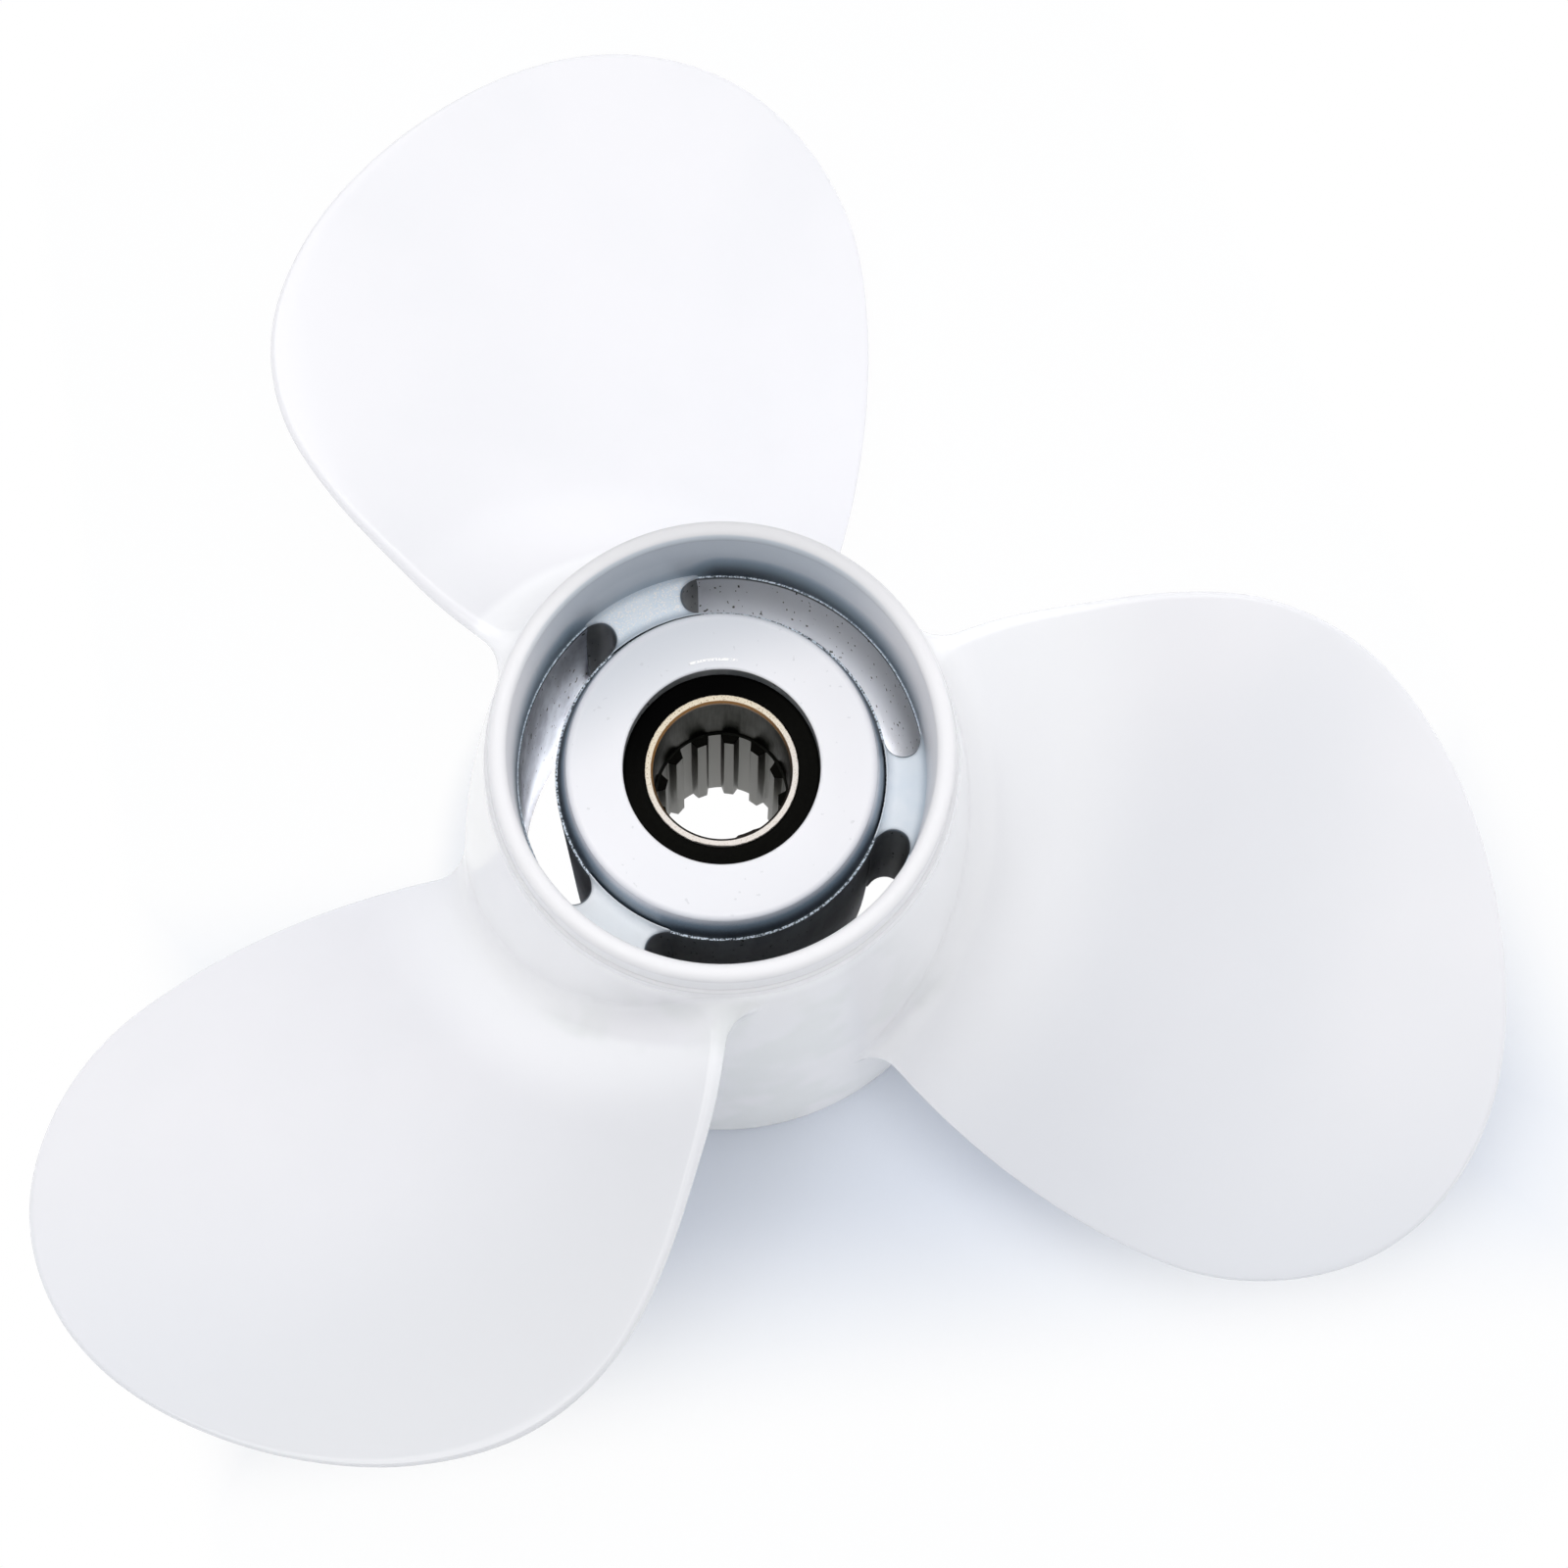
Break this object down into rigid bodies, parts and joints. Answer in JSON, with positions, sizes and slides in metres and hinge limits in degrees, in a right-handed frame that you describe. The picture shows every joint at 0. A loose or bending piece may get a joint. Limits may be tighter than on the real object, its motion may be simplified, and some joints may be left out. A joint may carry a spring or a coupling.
{
  "type": "boat propeller",
  "caption": "Raked white boat propeller for a splined shaft, with exhaust passages through the hub and a rubber damper bush round a brass-sleeved splined core",
  "frame": {"origin": "centre of the barrel's forward rim, on the shaft axis, where the hub laps over the gearcase", "axes": "+Z is the shaft axis and points aft, away from the boat; the tip of blade_1 lies on +Y; +X completes the right-hand frame; the propeller stands on its forward rim at Z = 0"},
  "size_m": [0.257, 0.2443, 0.132],
  "materials": {
    "painted_casting": "gloss white paint",
    "bush_rubber": "matt",
    "sleeve_brass": "turned",
    "core_steel": "machined"
  },
  "bodies": {
    "casting": {"barrel": "painted_casting", "inner_hub": "painted_casting", "web_1": "painted_casting", "web_2": "painted_casting", "web_3": "painted_casting", "blade_1": "painted_casting", "blade_2": "painted_casting", "blade_3": "painted_casting", "damper_bush": "bush_rubber"},
    "core": {"brass_sleeve": "sleeve_brass", "spline_core": "core_steel"}
  },
  "joints": [
    {"name": "damper_twist", "type": "hinge", "parent": "casting", "child": "core", "pos_m": [0, 0, 0.0727], "axis": [0, 0, 1], "range_deg": [-8, 8], "stiffness_Nm_per_rad": 600}
  ]
}
